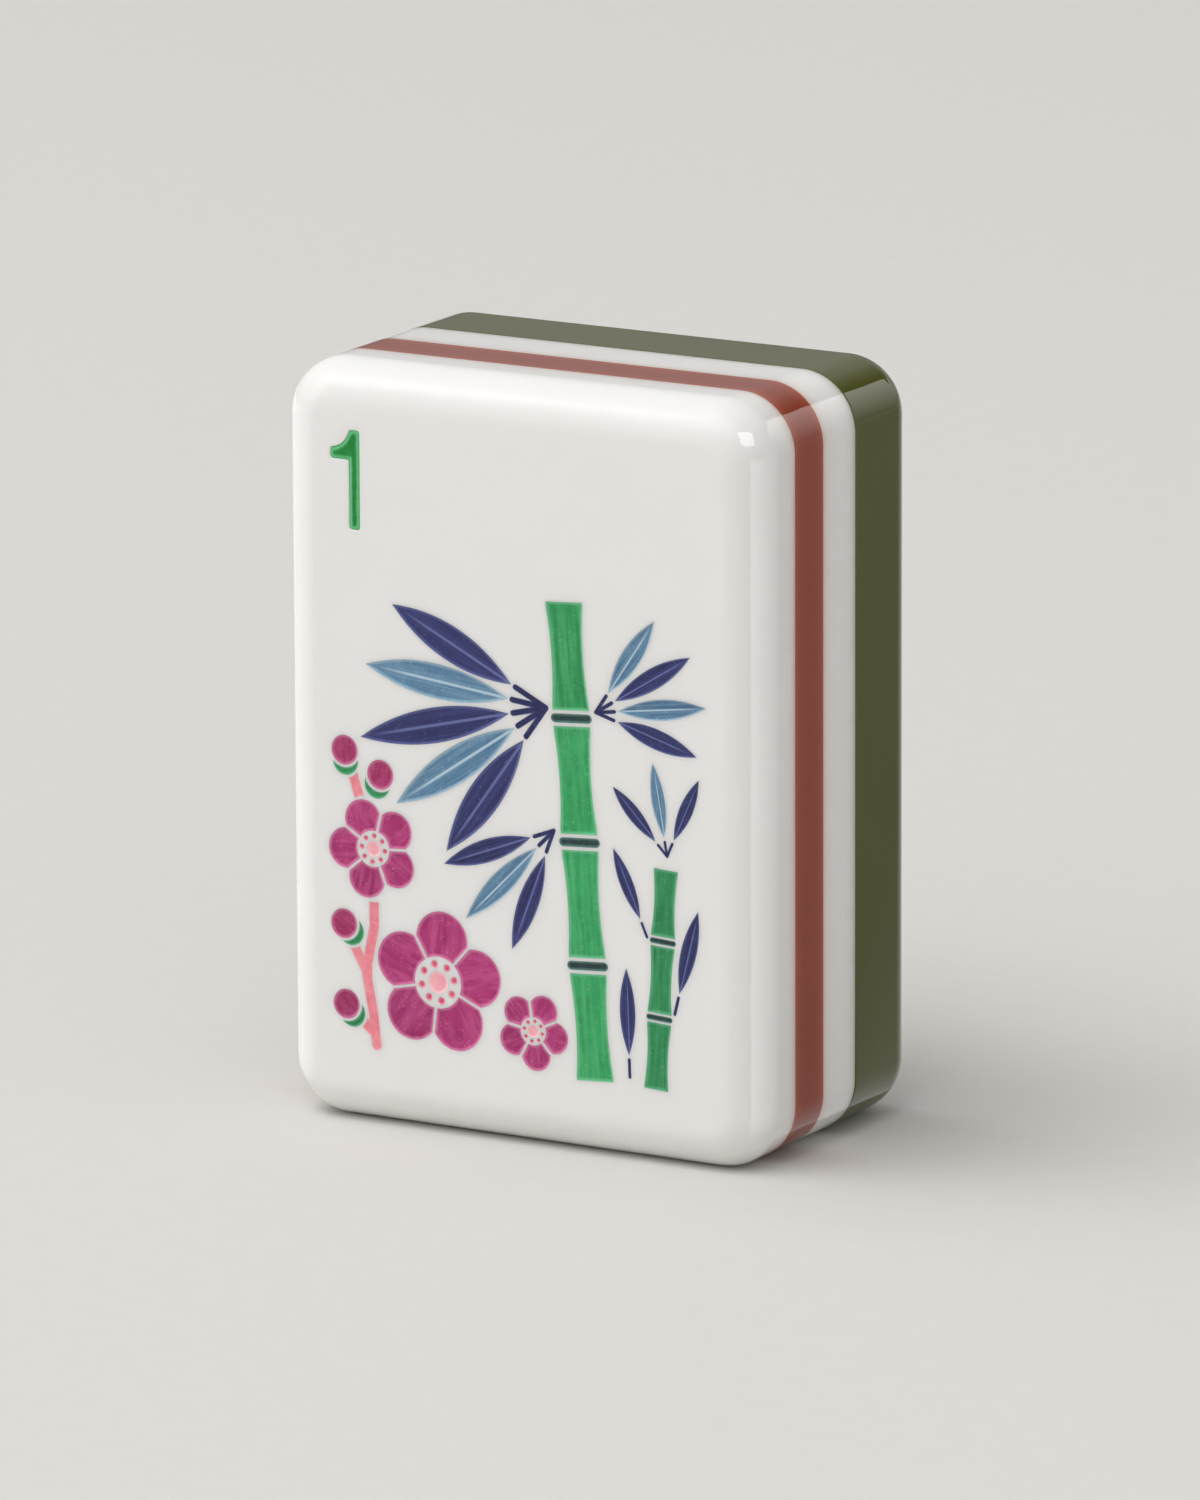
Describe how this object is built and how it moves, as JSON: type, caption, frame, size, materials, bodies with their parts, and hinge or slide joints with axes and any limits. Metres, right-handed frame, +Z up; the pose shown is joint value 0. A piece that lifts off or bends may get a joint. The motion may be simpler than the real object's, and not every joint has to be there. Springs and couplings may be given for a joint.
{
  "type": "mahjong tile",
  "caption": "Upright laminated game tile with rounded edges: white engraved face with an index numeral and an enamel picture of bamboo and blossom, rust and white stripes, olive back.",
  "frame": {"origin": "middle of the tile's lower edge face, on the surface that the tile stands on", "axes": "+Z up along the tile's height, engraved face towards -Y, +X to the right seen from the face"},
  "size_m": [0.0212, 0.0126, 0.03],
  "materials": {
    "white_plastic": "polished gloss",
    "rust_plastic": "polished gloss",
    "olive_plastic": "polished gloss",
    "numeral_enamel": "glossy enamel",
    "cane_enamel": "glossy enamel",
    "dark_cane_enamel": "glossy enamel",
    "ring_enamel": "glossy enamel",
    "navy_enamel": "glossy enamel",
    "slate_enamel": "glossy enamel",
    "magenta_enamel": "glossy enamel",
    "plum_enamel": "glossy enamel",
    "pink_enamel": "glossy enamel",
    "rose_enamel": "glossy enamel",
    "twig_enamel": "glossy enamel"
  },
  "bodies": {
    "root": {"face_block": "white_plastic", "rust_stripe": "rust_plastic", "white_band": "white_plastic", "green_back": "olive_plastic", "numeral_fill": "numeral_enamel", "tall_cane_fill": "cane_enamel", "short_cane_fill": "dark_cane_enamel", "cane_ring_fill": "ring_enamel", "leaf_fill": "navy_enamel", "shade_leaf_fill": "slate_enamel", "leaf_stalk_fill": "navy_enamel", "petal_fill": "magenta_enamel", "petal_heart_fill": "pink_enamel", "stamen_fill": "rose_enamel", "bud_fill": "plum_enamel", "sepal_fill": "dark_cane_enamel", "twig_fill": "twig_enamel"}
  },
  "joints": []
}
